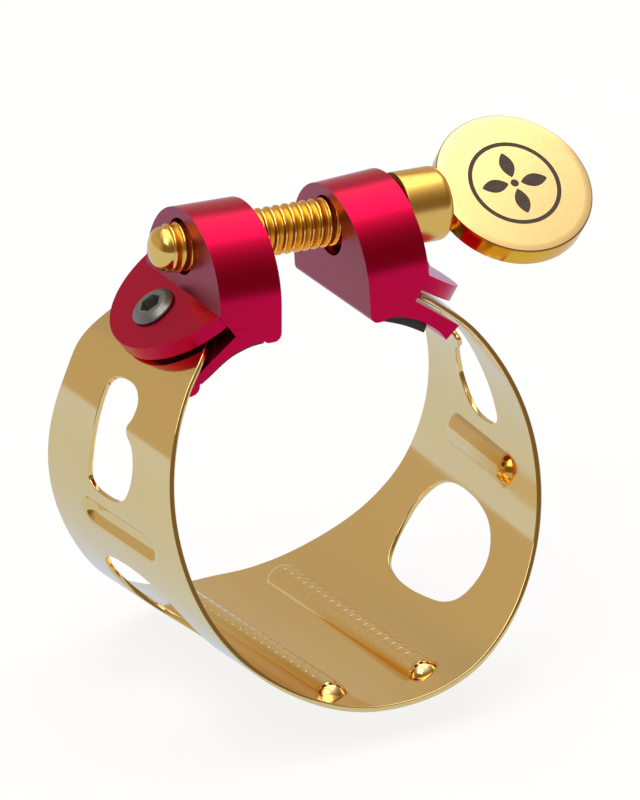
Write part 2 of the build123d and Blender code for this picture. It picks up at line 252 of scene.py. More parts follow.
def lathe(name, profile, origin, axis, up, count):
    """revolve (place along the axis, radius) points about the axis"""
    side = axis.cross(up)
    verts, faces, rings = [], [], []
    for s, r in profile:
        if r < 1e-6:
            rings.append([len(verts)])
            verts.append(origin + axis * s)
            continue
        rings.append(list(range(len(verts), len(verts) + count)))
        for k in range(count):
            a = 2 * math.pi * k / count
            verts.append(origin + axis * s + (up * math.cos(a) + side * math.sin(a)) * r)
    for a, b in zip(rings[:-1], rings[1:]):
        for k in range(count):
            following = (k + 1) % count
            if len(a) == 1:
                faces.append((a[0], b[k], b[following]))
            elif len(b) == 1:
                faces.append((a[k], b[0], a[following]))
            else:
                faces.append((a[k], b[k], b[following], a[following]))
    ob = new_mesh(name, verts, faces)
    fix_normals(ob)
    return ob


# ---------------------------------------------------------------------------
# curves
# ---------------------------------------------------------------------------
def clip01(value):
    return np.clip(value, 0, 1)


def cubic(t, start, end, slope_start, slope_end, span):
    """Hermite cubic at t in 0..1"""
    return ((2 * t**3 - 3 * t**2 + 1) * start + (t**3 - 2 * t**2 + t) * span * slope_start
            + (-2 * t**3 + 3 * t**2) * end + (t**3 - t**2) * span * slope_end)


def cubic_at(x, y, slopes, query):
    i = np.clip(np.searchsorted(x, query) - 1, 0, len(x) - 2)
    span = x[i + 1] - x[i]
    return cubic((query - x[i]) / span, y[i], y[i + 1], slopes[i], slopes[i + 1], span)


def edge_curve(table, query):
    """smooth curve through (x, y) points, level at the first one"""
    x, y = np.array(table, float).T
    span = np.diff(x)
    rise = np.diff(y) / span
    slopes = np.zeros(len(x))
    slopes[1:-1] = (rise[:-1] * span[1:] + rise[1:] * span[:-1]) / (span[:-1] + span[1:])
    slopes[-1] = rise[-1]
    return cubic_at(x, y, slopes, query)


def open_curve(points, count):
    """smooth open curve through the points, as count evenly spaced points"""
    p = np.array(points, float)
    run = np.r_[0, np.cumsum(np.linalg.norm(np.diff(p, axis=0), axis=1))]
    s = np.linspace(0, run[-1], count)
    return list(zip(*(cubic_at(run, p[:, c], np.gradient(p[:, c], run), s) for c in (0, 1))))


def resample(points, step):
    """even points round a closed line"""
    q = np.vstack([points, points[:1]])
    run = np.r_[0, np.cumsum(np.linalg.norm(np.diff(q, axis=0), axis=1))]
    count = max(3, int(round(run[-1] / step)))
    s = np.linspace(0, run[-1], count + 1)[:-1]
    return np.c_[np.interp(s, run, q[:, 0]), np.interp(s, run, q[:, 1])]


def closed_curve(points, step):
    """smooth closed curve through the points (centripetal Catmull-Rom), resampled"""
    p = np.array(points, float)
    n = len(p)
    out = []
    for i in range(n):
        p0, p1, p2, p3 = p[i - 1], p[i], p[(i + 1) % n], p[(i + 2) % n]
        d01, d12, d23 = [max(np.linalg.norm(b - a), 1e-6) ** 0.5
                         for a, b in ((p0, p1), (p1, p2), (p2, p3))]
        slope1 = (p1 - p0) / d01 - (p2 - p0) / (d01 + d12) + (p2 - p1) / d12
        slope2 = (p2 - p1) / d12 - (p3 - p1) / (d12 + d23) + (p3 - p2) / d23
        slope1, slope2 = slope1 * d12, slope2 * d12
        count = max(2, int(math.ceil(np.linalg.norm(p2 - p1) / step * 3)))
        for j in range(count):
            out.append(cubic(j / count, p1, p2, slope1, slope2, 1))
    return resample(np.array(out), step)


def fillet_path(points, radii, segments):
    """round the corners of an open line, one radius per point"""
    out = [points[0]]
    for i in range(1, len(points) - 1):
        p, before, after = Vector(points[i]), Vector(points[i - 1]), Vector(points[i + 1])
        to_before, to_after = (before - p).normalized(), (after - p).normalized()
        angle = to_before.angle(to_after)
        if radii[i] <= 0 or angle > math.pi - 0.02:
            out.append(tuple(p))
            continue
        reach = min(radii[i] / math.tan(angle / 2), (before - p).length * 0.49,
                    (after - p).length * 0.49)
        r = reach * math.tan(angle / 2)
        centre = p + (to_before + to_after).normalized() * (r / math.sin(angle / 2))
        start, end = p + to_before * reach - centre, p + to_after * reach - centre
        a0, a1 = math.atan2(start.y, start.x), math.atan2(end.y, end.x)
        while a1 - a0 > math.pi:
            a1 -= 2 * math.pi
        while a1 - a0 < -math.pi:
            a1 += 2 * math.pi
        for k in range(segments + 1):
            a = a0 + (a1 - a0) * k / segments
            out.append((centre.x + r * math.cos(a), centre.y + r * math.sin(a)))
    out.append(points[-1])
    return out


# ---------------------------------------------------------------------------
# strap surface, as a function of the angle round the band and y
# ---------------------------------------------------------------------------
# bars pressed inwards: two long rails near the bottom, two short ribs at the sides
RAIL_ANGLE, RAIL_Y = math.radians(15.0), (-9.6, 9.4)
RIB_ANGLE, RIB_Y = math.radians(80.0), (-4.2, 2.9)
RAILS = ((RAIL_ANGLE, RAIL_Y), (-RAIL_ANGLE, RAIL_Y))
RIBS = ((RIB_ANGLE, RIB_Y), (-RIB_ANGLE, RIB_Y))
BARS = RAILS + RIBS
BAR_R, BAR_SUNK = 1.02, 0.37            # section radius, and its centre's depth behind the sheet
SHOULDER_R, SHOULDER_SLOPE = 0.95, 1.2  # beyond this distance the flank falls more steeply
BAR_BLEND = 0.10                        # softness where a bar meets the sheet
BAR_END_R, BAR_FADE = 1.5, 0.35         # where a bar has died out, and over what width
# scores across the rails: pitch, curve of each score, depth, width as a share of the pitch
SCORE_PITCH, SCORE_BOW, SCORE_DEPTH, SCORE_WIDTH = 0.95, 0.75, 0.013, 0.15
# inward shift of the left arm: angles where it starts and its width (degrees),
# amount at y = 0 and growth per mm of y
ARM_START, ARM_SPAN, ARM_SHIFT, ARM_SKEW = 24.0, 70.0, 0.045, 0.020
FLAT_BLEND = 0.42                       # softness of the bend into the flat feet


def flat_line(lug):
    """distance from the band's axis and angle of the flat that fills the lug's slot"""
    d = lug.origin + lug.along * 0 + lug.off * SLOT_MID
    return lug.off.x * d.x + lug.off.z * d.z, math.atan2(lug.off.x, -lug.off.z)


FLATS = (flat_line(LEFT), flat_line(RIGHT))


def foot_angle(lug, along):
    """angle round the band of a place along a lug's foot"""
    distance, angle = flat_line(lug)
    reach = along + (lug.along.x * lug.origin.x + lug.along.z * lug.origin.z)
    return lug.side * (abs(angle) - math.atan2(reach, distance))


ANGLE_LEFT = foot_angle(LEFT, SLOT_END + 0.12)
ANGLE_RIGHT = foot_angle(RIGHT, SLOT_END + 0.12)


def smooth_min(a, b, k):
    h = clip01(0.5 + 0.5 * (b - a) / k)
    return b * (1 - h) + a * h - k * h * (1 - h)


def bar_height(theta, y, angle, y_range):
    """height of a bar, distance across it from its crest, and distance from its crest line"""
    across = (theta - angle) * MID_R
    beyond = y - np.clip(y, y_range[0], y_range[1])
    d = np.sqrt(across**2 + beyond**2)
    a = np.sqrt(np.maximum(BAR_R**2 - d**2, 0)) - BAR_SUNK
    a = np.where(d > SHOULDER_R, a - (d - SHOULDER_R) * SHOULDER_SLOPE, a)
    height = 0.5 * (a + np.sqrt(a * a + BAR_BLEND**2))
    return height * clip01((BAR_END_R - d) / BAR_FADE), across, d


def band_radius(theta, y):
    # the left arm is sprung a little out at its front rim and in at its back rim
    w = clip01((-np.degrees(theta) - ARM_START) / ARM_SPAN)
    r = MID_R + TAPER * y - np.sin(np.pi * w) ** 2 * (ARM_SHIFT + ARM_SKEW * y)
    for distance, angle in FLATS:
        c = np.cos(theta - angle)
        flat = np.where(c > 0.5, distance / np.maximum(c, 0.5), 1e3)
        r = smooth_min(r, flat, FLAT_BLEND)
    return r


def mid_surface(theta, y):
    r = band_radius(theta, y)
    height = np.zeros_like(r)
    for angle, y_range in BARS:
        height = height + bar_height(theta, y, angle, y_range)[0]
    r = r - height
    return np.stack([r * np.sin(theta), y, -r * np.cos(theta)], -1)


def score_depth(theta, y):
    """scores across the crests of the two rails, each with its ends curved to the front"""
    depth = np.zeros_like(y)
    for angle, y_range in RAILS:
        across = bar_height(theta, y, angle, y_range)[1]
        phase = (y + SCORE_BOW * np.abs(across) ** 2) / SCORE_PITCH
        groove = np.exp(-((phase - np.floor(phase) - 0.5) / SCORE_WIDTH) ** 2)
        # the scores fade out down the flanks and at both ends of the rail
        fade = (clip01((0.62 - np.abs(across)) / 0.22)
                * clip01((y + 8.6) / 0.3) * clip01((9.6 - y) / 0.3))
        depth = depth + SCORE_DEPTH * groove * fade
    return depth


def sheet_normal(theta, y):
    """outward normal of the middle of the sheet, by differences"""
    e = 0.02
    d_theta = mid_surface(theta + e / MID_R, y) - mid_surface(theta - e / MID_R, y)
    d_y = mid_surface(theta, y + e) - mid_surface(theta, y - e)
    n = np.cross(d_theta, d_y)
    n /= np.linalg.norm(n, axis=-1, keepdims=True)
    radial = np.stack([np.sin(theta), 0 * theta, -np.cos(theta)], -1)
    n *= np.sign((n * radial).sum(-1, keepdims=True))
    return n


def sheet_point(theta, y, offset):
    """point at an outward offset (number or array) from the middle of the sheet"""
    offset = offset * np.ones_like(theta)
    return mid_surface(theta, y) + sheet_normal(theta, y) * offset[..., None]


# ---------------------------------------------------------------------------
# strap outline on the flat: x is the angle times MID_R, y is y
# ---------------------------------------------------------------------------
OUTLINE_STEP, WINDOW_STEP = 0.30, 0.18
EDGE_R = 0.07               # rounding of every edge
SCREW_HOLE_R = 1.15

# windows through the strap: (degrees from the bottom, y)
LOWER_WINDOW = [
    (66.6, -0.2), (65.9, 1.8), (63.6, 3.3), (59.9, 4.25), (54.5, 4.85), (48.0, 4.75),
    (41.8, 4.2), (37.2, 3.2), (34.8, 1.4), (34.2, -0.6), (35.0, -2.8), (36.9, -4.75),
    (40.2, -5.7), (46.5, -6.05), (53.5, -5.85), (59.0, -5.1), (63.3, -3.9), (65.8, -2.2)]
UPPER_LEFT_WINDOW = [
    (88.2, 0.9), (88.4, -0.4), (89.9, -1.6), (93.2, -2.3), (97.9, -2.68), (102.2, -2.6),
    (106.2, -2.1), (108.6, -1.25), (110.4, -1.02), (113.5, -1.32), (117.2, -1.33), (119.8, -0.9),
    (121.3, -0.2), (121.4, 0.8), (120.4, 1.8), (118.2, 2.35), (113.9, 2.42), (106.9, 2.38),
    (100.0, 2.36), (94.2, 2.42), (90.3, 2.35), (88.7, 1.8)]
UPPER_RIGHT_WINDOW = [
    (89.3, 0.2), (89.4, -1.2), (90.6, -2.3), (93.0, -2.72), (97.5, -2.5), (103.6, -2.08),
    (108.6, -1.7), (113.5, -1.4), (118.0, -1.05), (121.0, -0.3), (121.8, 0.8), (120.4, 1.9),
    (117.0, 2.2), (113.2, 1.95), (110.6, 1.35), (108.4, 1.55), (106.0, 2.25), (102.0, 2.62),
    (97.6, 2.62), (93.6, 2.1), (90.6, 1.25)]


def round_corner(corner, before, after, reach=0.9, segments=7):
    """quadratic curve that cuts a corner, starting and ending at reach from it"""
    c, p, q = np.array(corner), np.array(before), np.array(after)
    dp, dq = (p - c) / np.linalg.norm(p - c), (q - c) / np.linalg.norm(q - c)
    out = []
    for k in range(segments + 1):
        t = k / segments
        out.append((1 - t) ** 2 * (c + dp * reach) + 2 * t * (1 - t) * c
                   + t * t * (c + dq * reach))
    return out


def strap_outline():
    count = int((ANGLE_RIGHT - ANGLE_LEFT) * MID_R / OUTLINE_STEP)
    theta = np.linspace(ANGLE_LEFT, ANGLE_RIGHT, count)
    degrees = np.degrees(np.abs(theta))
    front = np.c_[theta * MID_R, -edge_curve(FRONT_EDGE, degrees)]
    back = np.c_[theta * MID_R, edge_curve(BACK_EDGE, degrees)]
    # the back edge runs fuller into the left foot
    u = clip01((-np.degrees(theta) - 110.0) / 24.0)
    back[:, 1] += 0.72 * u * u * (3 - 2 * u)
    # the ends are left off the edges for the rounded corners; the front left one is the largest
    right = np.array(round_corner(front[-1], front[-6], back[-1])
                     + round_corner(back[-1], front[-1], back[-6]))
    left = np.array(round_corner(back[0], back[5], front[0])
                    + round_corner(front[0], back[0], front[18], reach=4.3, segments=18))
    return resample(np.vstack([front[17:-4], right, back[4:-4][::-1], left]), OUTLINE_STEP)


def strap_holes():
    holes = []
    for side, window in ((1, LOWER_WINDOW), (-1, LOWER_WINDOW),
                         (-1, UPPER_LEFT_WINDOW), (1, UPPER_RIGHT_WINDOW)):
        points = [(side * math.radians(deg) * MID_R, y) for deg, y in window]
        holes.append(closed_curve(points, WINDOW_STEP))
    for lug in (RIGHT, LEFT):
        centre = foot_angle(lug, CLAMP_AT) * MID_R
        holes.append(np.array([(centre + x, LUG_Y + CLAMP_Y + y)
                               for x, y in circle(SCREW_HOLE_R, 36)]))
    return holes


def signed_area(p):
    return 0.5 * np.sum(p[:, 0] * np.roll(p[:, 1], -1) - np.roll(p[:, 0], -1) * p[:, 1])


def inset(loop, distance):
    """loop moved to the left of its travel, which is into the sheet"""
    tangent = np.roll(loop, -1, 0) - np.roll(loop, 1, 0)
    tangent /= np.linalg.norm(tangent, axis=1, keepdims=True)
    return loop + np.c_[-tangent[:, 1], tangent[:, 0]] * distance


def inside(points, loop):
    x, y = points[:, 0][:, None], points[:, 1][:, None]
    x1, y1 = loop[:, 0][None], loop[:, 1][None]
    x2, y2 = np.roll(loop[:, 0], -1)[None], np.roll(loop[:, 1], -1)[None]
    crossed = ((y1 > y) != (y2 > y)) & (x < (x2 - x1) * (y - y1) / (y2 - y1 + 1e-12) + x1)
    return crossed.sum(1) % 2 == 1


def in_sheet(points, loops):
    """inside the first loop and outside all the others"""
    ok = inside(points, loops[0])
    for hole in loops[1:]:
        ok &= ~inside(points, hole)
    return ok


def nearest(points, others):
    """distance from each point to the nearest of the others, in batches to save memory"""
    best = np.full(len(points), 1e9)
    for k in range(0, len(points), 4000):
        d = points[k:k + 4000, None, :] - others[None]
        best[k:k + 4000] = np.sqrt((d**2).sum(-1)).min(1)
    return best


def grid(xs, ys):
    X, Y = np.meshgrid(xs, ys)
    return np.c_[X.ravel(), Y.ravel()]


# ---------------------------------------------------------------------------
# strap mesh
# ---------------------------------------------------------------------------
GRID_STEP = 0.42
GRID_Y = (-13.2, 13.3)
BAR_MARGIN = 1.78           # the coarse grid stops this far from a bar
RAIL_STEP, RIB_STEP = 0.097, 0.14
BOUNDARY_GAP = 0.19         # inner points keep this far from the edges
SHADING_ROW = 0.045         # a close row just inside every edge keeps the shading flat
# columns of points across a bar, closest at its shoulders
BAR_COLUMNS = np.r_[
    np.arange(-1.60, -1.15, 0.12), np.arange(-1.12, -0.70, 0.055), np.arange(-0.68, 0.70, 0.115),
    np.arange(0.71, 1.13, 0.055), np.arange(1.16, 1.62, 0.12)]
# radii of the rings of points round a bar's end
BAR_RINGS = np.r_[0.0, np.arange(0.07, 0.72, 0.09), np.arange(0.74, 1.16, 0.05),
                  np.arange(1.20, 1.64, 0.10)]
BAR_RING_STEP = 0.085


def bar_points(angle, y_range):
    """columns along a bar, and half rings at its two ends, which are turned forms"""
    cx = angle * MID_R
    step = RAIL_STEP if angle in (RAIL_ANGLE, -RAIL_ANGLE) else RIB_STEP
    points = [grid(cx + BAR_COLUMNS, np.arange(y_range[0] + 0.03, y_range[1] - 0.02, step))]
    for y_end, sign in ((y_range[0], -1), (y_range[1], 1)):
        for r in BAR_RINGS:
            m = max(1, int(math.pi * r / BAR_RING_STEP))
            for k in range(m + 1 if r else 1):
                a = math.pi * k / m
                points.append(np.array([(cx + r * math.cos(a), y_end + sign * r * math.sin(a))]))
    return points


def fill_points(insets):
    """points inside the sheet: coarse on the plain parts, fine on the bars"""
    base = grid(np.arange(ANGLE_LEFT * MID_R, ANGLE_RIGHT * MID_R, GRID_STEP),
                np.arange(*GRID_Y, GRID_STEP))
    keep = np.ones(len(base), bool)
    fine = []
    for angle, y_range in BARS:
        keep &= ~((np.abs(base[:, 0] - angle * MID_R) < BAR_MARGIN)
                  & (base[:, 1] > y_range[0] - BAR_MARGIN)
                  & (base[:, 1] < y_range[1] + BAR_MARGIN))
        fine += bar_points(angle, y_range)
    points = np.vstack([base[keep]] + fine)
    points = points[in_sheet(points, insets)]
    points = points[nearest(points, np.vstack(insets)) > BOUNDARY_GAP]
    return np.vstack([points] + [inset(p, SHADING_ROW) for p in insets])


def triangulate(insets):
    """points, triangles, and where each input point went"""
    edges, first = [], 0
    for loop in insets:
        n = len(loop)
        edges += [(first + i, first + (i + 1) % n) for i in range(n)]
        first += n
    flat = [Vector(p) for p in np.vstack(insets + [fill_points(insets)])]
    result = delaunay_2d_cdt(flat, edges, [], 0, 1e-7, True)
    points = np.array([tuple(p) for p in result[0]])
    triangles = np.array([t for t in result[2] if len(t) == 3])
    triangles = triangles[in_sheet(points[triangles].mean(1), insets)]
    # drop slivers of no area
    a, b, c = (points[triangles[:, k]] for k in range(3))
    area = 0.5 * ((b[:, 0] - a[:, 0]) * (c[:, 1] - a[:, 1])
                  - (c[:, 0] - a[:, 0]) * (b[:, 1] - a[:, 1]))
    triangles = triangles[np.abs(area) > 1e-7]
    index = {source: i for i, sources in enumerate(result[3]) for source in sources}
    return points, triangles, index


def painted_reflection_weight(theta, y):
    """weight of the painted reflection, a deeper gold, on the flanks and front ends of the bars"""
    painted_tone = np.zeros(len(theta))
    for angle, (y_front, y_back) in BARS:
        _, across, d = bar_height(theta, y, angle, (y_front, y_back))
        run = np.clip((y_back - y) / (y_back - y_front), 0, 1.2)
        if (angle, (y_front, y_back)) in RAILS:
            # the left flank of a rail, wider towards the front
            side = (clip01((across - (-1.05 - 0.50 * run)) / 0.20)
                    * clip01((-0.50 - across) / 0.25) * clip01(run * 1.5 - 0.30))
            side = side * clip01((y - y_front + 0.9) / 0.5)
            end = (clip01((1.22 - d) / 0.08) * clip01((d - 0.86) / 0.12)
                   * clip01((y_front - y + 0.1) / 0.2))
        else:
            # most of a rib's width, over its front half
            side = (clip01((0.98 - np.abs(across + 0.15)) / 0.25)
                    * clip01((run - 0.42) / 0.55) * 0.8)
            end = clip01((1.25 - d) / 0.08) * clip01((y_front + 0.15 - y) / 0.3)
        painted_tone = np.maximum(painted_tone, np.maximum(side, end))
    return painted_tone


def rail_coordinates(theta, y):
    """distance across the nearer rail, and weight of its crest, for the scores' bump"""
    across, crest = np.zeros(len(theta)), np.zeros(len(theta))
    for angle, (y_front, y_back) in RAILS:
        from_crest = (theta - angle) * MID_R
        near = np.abs(from_crest) < 2.2
        across[near] = from_crest[near]
        crest = np.maximum(crest, clip01((0.66 - np.abs(from_crest)) / 0.10)
                           * clip01((y - y_front - 0.5) / 0.2)
                           * clip01((y_back + 0.2 - y) / 0.2))
    return across, crest


def build_strap():
    loops = [strap_outline()] + strap_holes()
    for i, loop in enumerate(loops):
        if (signed_area(loop) > 0) != (i == 0):
            loops[i] = loop[::-1]
    insets = [inset(loop, EDGE_R) for loop in loops]
    points, triangles, index = triangulate(insets)
    theta, y = points[:, 0] / MID_R, points[:, 1]
    n = len(points)
    half = SHEET / 2

    # outer skin, then inner skin
    verts = [sheet_point(theta, y, half), sheet_point(theta, y, -half + score_depth(theta, y))]
    faces = [tuple(t) for t in triangles] + [tuple(n + t[::-1]) for t in triangles]

    # rounded rims, from the outer skin over the edge to the inner skin
    total, first = 2 * n, 0
    for loop, inner in zip(loops, insets):
        m = len(loop)
        outer_row = [index[first + i] for i in range(m)]
        rows = [outer_row]
        for side, angles in ((1, (30, 60, 90)), (-1, (90, 60, 30))):
            for angle in angles:
                sine, cosine = math.sin(math.radians(angle)), math.cos(math.radians(angle))
                rim = inner + (loop - inner) * sine
                offset = side * (half - EDGE_R * (1 - cosine))
                verts.append(sheet_point(rim[:, 0] / MID_R, rim[:, 1], offset))
                rows.append(list(range(total, total + m)))
                total += m
        rows.append([n + i for i in outer_row])
        for a, b in zip(rows[:-1], rows[1:]):
            for i in range(m):
                j = (i + 1) % m
                faces.append((a[i], b[i], b[j], a[j]))
        first += m
    ob = new_mesh("strap", np.vstack(verts), faces)
    mesh = ob.data

    normals = np.zeros((total, 3))
    normals[:n] = sheet_normal(theta, y)
    normals[n:2 * n] = -normals[:n]
    attribute = mesh.attributes.new("skin_normal", "FLOAT_VECTOR", "POINT")
    attribute.data.foreach_set("vector", normals.astype(np.float32).ravel())
    # the weights of the painted reflection and of the scores belong to the inner skin only
    across, crest = rail_coordinates(theta, y)
    for name, weight in (("painted_tone", painted_reflection_weight(theta, y)), ("across", across), ("crest", crest)):
        values = np.zeros(total)
        values[n:2 * n] = weight
        add_attribute(ob, name, values)

    with editing(ob) as bm:
        loose = [v for v in bm.verts if not v.link_faces]
        bmesh.ops.delete(bm, geom=loose, context="VERTS")
        bmesh.ops.recalc_face_normals(bm, faces=bm.faces)
    smooth(ob, 50)
    # the skins are shaded by the true surface
    kept = np.zeros(len(mesh.vertices) * 3, np.float32)
    mesh.attributes["skin_normal"].data.foreach_get("vector", kept)
    mesh.normals_split_custom_set_from_vertices(kept.reshape(-1, 3).tolist())
    mesh.attributes.remove(mesh.attributes["skin_normal"])
    return ob


# ---------------------------------------------------------------------------
# lugs, pads, clamp screws
# ---------------------------------------------------------------------------
# hollow under each lug: (out from the inner face, up from the bore)
RECESS_RIGHT = [(1.13, -4.66), (1.92, -4.79), (2.57, -5.03), (3.23, -5.36), (3.87, -5.84),
                (4.50, -6.43), (4.87, -6.98)]
RECESS_LEFT = [(1.13, -4.66), (1.92, -4.74), (2.57, -4.92), (3.23, -5.17), (3.87, -5.56),
               (4.55, -6.08), (5.26, -6.58)]
# rounded nose at the end of the left lug's long jaw, in the same axes
LONG_JAW_NOSE = [(5.35, -6.68), (5.36, -6.88), (5.45, -7.08), (5.64, -7.24), (5.90, -7.32),
                 (6.18, -7.30), (6.37, -7.15), (6.42, -6.96), (6.36, -6.74)]
SHORT_JAW_END = [(5.79, -6.27)]
JAW_ROUND, JAW_LOW = 0.5, -4.30         # lower inner corner: its radius and where it starts
BLOCK_TALL, FOOT_LONG = 4, 11.0         # rough size of the blank before it is trimmed


def foot_to_lug(along, off):
    return (along * ALONG_FOOT[0] + off * OFF_FOOT[0], along * ALONG_FOOT[1] + off * OFF_FOOT[1])


def lug_outline(long_jaw):
    """section of a lug seen along y, as (out, up) points"""
    points = [(0, BLOCK_TALL)]
    points += [(JAW_ROUND - JAW_ROUND * math.cos(t), JAW_LOW - JAW_ROUND * math.sin(t))
               for t in np.linspace(0, math.pi / 2, 9)]
    points += [(0.86, -4.80), (0.97, -4.77)]
    points += open_curve(RECESS_LEFT if long_jaw else RECESS_RIGHT, 26)
    points += LONG_JAW_NOSE if long_jaw else SHORT_JAW_END
    points += [foot_to_lug(SLOT_END, SLOT_LOW), foot_to_lug(SLOT_END, FOOT_UNDER),
               foot_to_lug(FOOT_LONG, FOOT_UNDER), foot_to_lug(FOOT_LONG, FOOT_TOP)]
    # where the foot's top meets the block's outer face
    along = (LUG_THICK - FOOT_TOP * OFF_FOOT[0]) / ALONG_FOOT[0]
    points += [(LUG_THICK, foot_to_lug(along, FOOT_TOP)[1]), (LUG_THICK, BLOCK_TALL)]
    return points


def plate_arc(start):
    """round end of the foot, as (along, y) points, from a place along the foot and back to it"""
    a0 = math.acos((start - PLATE_AT) / PLATE_R)
    return [(PLATE_AT + PLATE_R * math.cos(a), PLATE_Y + PLATE_R * math.sin(a))
            for a in np.linspace(a0, -a0, 97)]


def build_lug(name, lug, bore, long_jaw):
    ob = prism(name, lug_outline(long_jaw), lug.section, LUG_FRONT, LUG_BACK)
    arch = [(ARCH_Y + ARCH_R * math.cos(a), ARCH_W + ARCH_R * math.sin(a))
            for a in np.linspace(0, math.pi, 97)]
    arch = [(ARCH_Y + ARCH_R, ARCH_W - 9)] + arch + [(ARCH_Y - ARCH_R, ARCH_W - 9)]
    boolean(ob, prism("arch", arch, lug.face, -5, 16), "INTERSECT")
    # round foot plate, which runs a little past the back of the block
    plate = plate_arc(SLOT_END - 0.9)
    boolean(ob, prism("plate", plate, lug.foot_plan, FOOT_UNDER, FOOT_TOP), "UNION")
    cut = SLOT_END + 0.02
    trim = [(cut, 9)] + plate_arc(cut) + [(cut, -9), (13, -9), (13, 9)]
    boolean(ob, prism("trim", trim, lug.foot_plan, FOOT_UNDER - 0.12, 4), "DIFFERENCE")
    bore_r, bore_y, bore_w = bore
    bore_circle = circle(bore_r, 96, bore_y, bore_w)
    boolean(ob, prism("bore", bore_circle, lug.face, -5, 9), "DIFFERENCE")
    # clamp screw hole, a little narrower below the foot plate
    for tool, radius, start, end in (("clamp", 1.10, -1.2, 3), ("clamp2", 1.0, -4, 0)):
        hole = circle(radius, 48, CLAMP_AT, CLAMP_Y)
        boolean(ob, prism(tool, hole, lug.foot_plan, start, end), "DIFFERENCE")
    bevel(ob, width=0.10, angle=24)
    fix_normals(ob)
    smooth(ob, 32)
    # shade by the big faces, so that the small edge rounding does not bend the light on them
    apply_modifier(ob, "WEIGHTED_NORMAL", mode="FACE_AREA", weight=100, keep_sharp=True)
    arch_centre = lug.origin + lug.out * 0 + lug.up * ARCH_W + lug.back * ARCH_Y
    round_normals(ob, arch_centre, lug.out, ARCH_R)
    return ob


LEFT_PAD_T = 0.12
# lower face of the right pad: its two ends (out, up), and how far it bulges between them
RIGHT_PAD_OUTER, RIGHT_PAD_INNER = Vector((3.62, -6.36)), Vector((0.98, -4.98))
RIGHT_PAD_BULGE = Vector((0.05, 0.09))


def build_pad(name, lug):
    left = lug.side < 0
    recess = RECESS_LEFT if left else RECESS_RIGHT[:5]
    top = [(u, w - 0.015) for u, w in open_curve(recess, 14)]
    if left:
        # a thin strip that lines the whole hollow of the long jaw
        under = []
        for k in range(len(top) - 1, -1, -1):
            (u0, w0), (u1, w1) = top[max(k - 1, 0)], top[min(k + 1, len(top) - 1)]
            d = math.hypot(u1 - u0, w1 - w0)
            under.append((top[k][0] + LEFT_PAD_T * (w1 - w0) / d,
                          top[k][1] - LEFT_PAD_T * (u1 - u0) / d))
    else:
        under = [tuple(RIGHT_PAD_OUTER.lerp(RIGHT_PAD_INNER, k / 8)
                       + RIGHT_PAD_BULGE * math.sin(math.pi * k / 8)) for k in range(9)]
    front = LUG_FRONT + (0.08 if left else 0.35)
    ob = prism(name, top + under, lug.section, front, LUG_BACK - 0.35)
    bevel(ob, width=0.035 if left else 0.09, angle=30)
    fix_normals(ob)
    smooth(ob, 35)
    return ob


def build_clamp(name, lug, key_turn):
    """plain shank and a low head with a hex socket"""
    origin = lug.origin + lug.along * CLAMP_AT + lug.off * FOOT_TOP + lug.back * CLAMP_Y
    # (height over the foot's top, radius)
    profile = [
        (CLAMP_END, 0), (CLAMP_END, CLAMP_SHANK_R - 0.20), (CLAMP_END + 0.20, CLAMP_SHANK_R),
        (0.012, CLAMP_SHANK_R), (0.012, CLAMP_R - 0.06), (0.03, CLAMP_R - 0.02),
        (0.06, CLAMP_R), (0.12, CLAMP_R), (0.16, CLAMP_R - 0.01), (0.19, CLAMP_R - 0.035),
        (CLAMP_H - 0.03, CLAMP_FLAT + 0.06), (CLAMP_H - 0.008, CLAMP_FLAT + 0.02),
        (CLAMP_H, CLAMP_FLAT - 0.03), (CLAMP_H, 0)]
    ob = lathe(name, profile, origin, lug.off, lug.along, 96)
    key = circle(CLAMP_KEY / 2 / math.cos(math.pi / 6), 6, start=math.radians(key_turn))
    axes = (origin, lug.along, lug.back, lug.off)
    boolean(ob, prism("hex", key, axes, -0.75, 2), "DIFFERENCE")
    with editing(ob) as bm:
        bmesh.ops.remove_doubles(bm, verts=bm.verts, dist=1e-6)
    apply_modifier(ob, "BEVEL", width=0.035 * MM, segments=2, limit_method="ANGLE",
                   angle_limit=math.radians(50))
    fix_normals(ob)
    smooth(ob, 30)
    return ob


# ---------------------------------------------------------------------------
# thumb screw
# ---------------------------------------------------------------------------
def thread_height(s, phi):
    """height of the thread over its root"""
    x = s / PITCH + phi / (2 * math.pi)
    x = x - np.floor(x)
    d = np.abs(x - 0.5) * 2            # 0 at the crest, 1 in the root
    t = np.clip((d - 0.10) / 0.62, 0, 1)
    return THREAD_DEPTH * (1 - t * t * (3 - 2 * t)) ** 1.15


